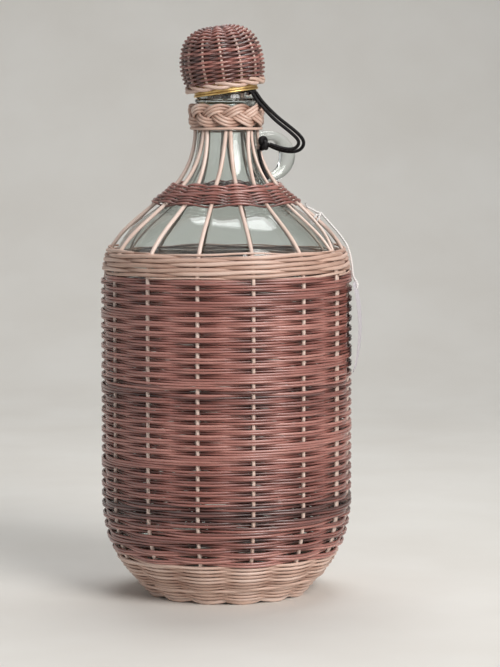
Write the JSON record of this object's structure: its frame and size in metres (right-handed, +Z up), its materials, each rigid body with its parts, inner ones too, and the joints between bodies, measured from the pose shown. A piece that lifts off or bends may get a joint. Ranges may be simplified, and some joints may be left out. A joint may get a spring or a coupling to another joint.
{
  "type": "wicker-covered glass jug",
  "caption": "Glass wine jug with a finger ring, jacketed in woven reed, with a loose metal cap under a woven reed knob, a neck cord and a blank hang tag.",
  "frame": {"origin": "middle of the foot, on the surface that the jug stands on", "axes": "+Z up along the jug's axis, -Y towards the front of the picture, +X to its right"},
  "size_m": [0.1664, 0.1558, 0.362],
  "materials": {
    "glass": "clear, faintly grey-green",
    "pale_reed": "peeled natural reed, satin",
    "brown_reed": "brown reed, satin varnish",
    "gold_tin": "gold lacquered tin",
    "liner": "pale foam disc",
    "black_cord": "smooth round cord",
    "white_string": "twisted cotton string",
    "card": "plain blank card"
  },
  "bodies": {
    "jug": {"glass_jug": "glass", "base_slath": "pale_reed", "foot_border": "pale_reed", "stake_01": "pale_reed", "stake_02": "pale_reed", "stake_03": "pale_reed", "stake_04": "pale_reed", "stake_05": "pale_reed", "stake_06": "pale_reed", "stake_07": "pale_reed", "stake_08": "pale_reed", "stake_09": "pale_reed", "stake_10": "pale_reed", "stake_11": "pale_reed", "stake_12": "pale_reed", "stake_13": "pale_reed", "stake_14": "pale_reed", "stake_15": "pale_reed", "stake_16": "pale_reed", "base_weave": "pale_reed", "base_band": "pale_reed", "body_weave": "brown_reed", "shoulder_wale": "pale_reed", "collar_weave": "brown_reed", "neck_plait": "pale_reed", "neck_ring": "pale_reed", "tether_noose": "black_cord", "tether_strand_a": "black_cord", "tether_strand_b": "black_cord", "tether_knot": "black_cord", "tether_tail": "black_cord", "string_knot": "white_string", "tag_string": "white_string", "hang_tag": "card"},
    "liner": {"cap_liner": "liner"},
    "cap": {"screw_cap": "gold_tin", "cover_weave": "brown_reed", "cover_border": "pale_reed", "cover_crown": "pale_reed", "cover_stake_01": "pale_reed", "cover_stake_02": "pale_reed", "cover_stake_03": "pale_reed", "cover_stake_04": "pale_reed", "cover_stake_05": "pale_reed", "cover_stake_06": "pale_reed", "cover_stake_07": "pale_reed", "cover_stake_08": "pale_reed", "cover_stake_09": "pale_reed", "cover_stake_10": "pale_reed", "cover_stake_11": "pale_reed", "cover_stake_12": "pale_reed", "cover_stake_13": "pale_reed"}
  },
  "joints": [
    {"name": "cap_lift", "type": "slide", "parent": "jug", "child": "liner", "axis": [-0.1392, 0, 0.9903], "range_m": [0, 0.08]},
    {"name": "cap_turn", "type": "hinge", "parent": "liner", "child": "cap", "pos_m": [0, 0, 0.31797], "axis": [-0.1392, 0, 0.9903], "continuous": true}
  ]
}
